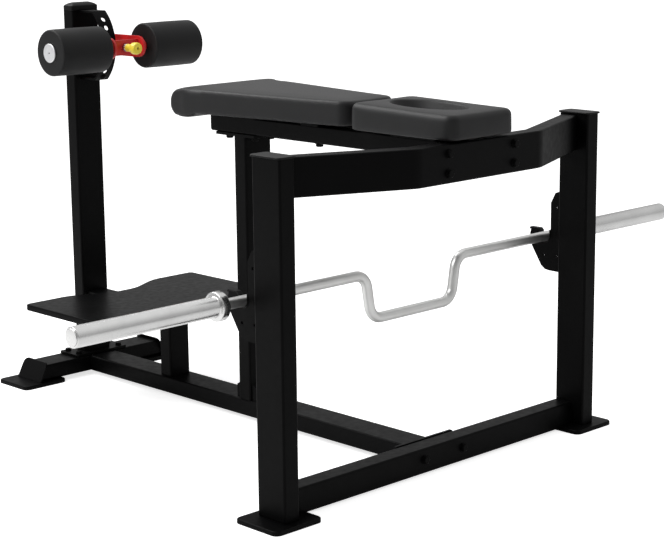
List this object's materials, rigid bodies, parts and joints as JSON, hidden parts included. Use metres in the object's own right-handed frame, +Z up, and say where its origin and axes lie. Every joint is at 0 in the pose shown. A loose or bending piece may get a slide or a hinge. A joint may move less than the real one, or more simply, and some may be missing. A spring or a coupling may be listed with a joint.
{
  "type": "rear deltoid machine",
  "caption": "Prone bench machine with tapered pad, face pad, racked cambered bar with turning sleeves, foot step and a tilting foot roller arm with pull pin.",
  "frame": {"origin": "middle of the floor rectangle that the whole machine covers, bar included", "axes": "+X across the machine along the bar, +Y from the bar end to the roller arm, +Z up"},
  "size_m": [2.2496, 1.7784, 1.1969],
  "materials": {
    "black_paint": "satin black powder coat",
    "red_paint": "red powder coat",
    "dark_steel": "blackened fasteners",
    "bar_chrome": "satin hard chrome",
    "bright_cap": "satin machined",
    "black_plastic": "moulded, satin",
    "yellow_plastic": "moulded, glossy yellow",
    "upholstery": "grained black vinyl over foam",
    "foam_roller": "matte closed cell foam"
  },
  "bodies": {
    "frame": {"upright_left": "black_paint", "upright_right": "black_paint", "upright_cap_left": "black_plastic", "upright_cap_right": "black_plastic", "front_foot_left": "black_paint", "front_foot_right": "black_paint", "floor_crossbeam": "black_paint", "crossbeam_bolt_left": "dark_steel", "crossbeam_bolt_right": "dark_steel", "bow_beam": "black_paint", "bow_bolt_low_left": "dark_steel", "bow_bolt_low_right": "dark_steel", "bow_bolt_high_left": "dark_steel", "bow_bolt_high_right": "dark_steel", "support_beam": "black_paint", "long_pad_rear_mount": "black_paint", "long_pad_front_mount": "black_paint", "face_pad_mount": "black_paint", "flange_bolt_front_left": "dark_steel", "flange_bolt_front_right": "dark_steel", "flange_bolt_rear_left": "dark_steel", "flange_bolt_rear_right": "dark_steel", "pad_bolt_left": "dark_steel", "pad_bolt_right": "dark_steel", "long_beam": "black_paint", "centre_post": "black_paint", "long_pad": "upholstery", "face_pad": "upholstery", "step_plate": "black_paint", "step_post": "black_paint", "step_angle": "black_paint", "rear_crossbeam": "black_paint", "rear_end_plate_left": "black_paint", "rear_end_plate_right": "black_paint", "rear_foot_left": "black_paint", "rear_foot_right": "black_paint", "rear_post": "black_paint", "rear_post_cap": "black_plastic", "rear_flange_bolt_front_left": "dark_steel", "rear_flange_bolt_front_right": "dark_steel", "rear_flange_bolt_rear_left": "dark_steel", "rear_flange_bolt_rear_right": "dark_steel", "pivot_bolt": "dark_steel", "selector_strip": "black_paint", "selector_stop_bolt": "dark_steel", "hook_plate_left": "black_paint", "hook_plate_right": "black_paint", "hook_liner_left": "black_plastic", "hook_liner_right": "black_plastic"},
    "roller_arm": {"roller_fork": "red_paint", "pin_barrel": "bright_cap", "roller_cap_left": "bright_cap", "roller_cap_right": "bright_cap"},
    "pull_pin": {"pin_plunger": "dark_steel", "pin_knob": "yellow_plastic"},
    "roller_left": {"roller_left": "foam_roller"},
    "roller_right": {"roller_right": "foam_roller"},
    "bar": {"bar_shaft": "bar_chrome"},
    "sleeve_left": {"bar_sleeve_left": "bar_chrome"},
    "sleeve_right": {"bar_sleeve_right": "bar_chrome"}
  },
  "joints": [
    {"name": "arm_tilt", "type": "hinge", "parent": "frame", "child": "roller_arm", "pos_m": [-0.0149, 0.80615, 1.0645], "axis": [1, 0, 0], "range_deg": [-35, 35]},
    {"name": "pull_pin", "type": "slide", "parent": "roller_arm", "child": "pull_pin", "axis": [0, -1, 0], "range_m": [0, 0.015], "stiffness_N_per_m": 500, "springref_m": -0.002},
    {"name": "roller_left_spin", "type": "hinge", "parent": "roller_arm", "child": "roller_left", "pos_m": [-0.1934, 0.59855, 1.0645], "axis": [1, 0, 0], "continuous": true},
    {"name": "roller_right_spin", "type": "hinge", "parent": "roller_arm", "child": "roller_right", "pos_m": [0.1636, 0.59855, 1.0645], "axis": [1, 0, 0], "continuous": true},
    {"name": "bar_lift", "type": "slide", "parent": "frame", "child": "bar", "axis": [0, 0, 1], "range_m": [0, 0.1]},
    {"name": "sleeve_left_spin", "type": "hinge", "parent": "bar", "child": "sleeve_left", "pos_m": [-0.9, -0.61755, 0.5461], "axis": [1, 0, 0], "continuous": true},
    {"name": "sleeve_right_spin", "type": "hinge", "parent": "bar", "child": "sleeve_right", "pos_m": [0.9, -0.61755, 0.5461], "axis": [1, 0, 0], "continuous": true}
  ]
}
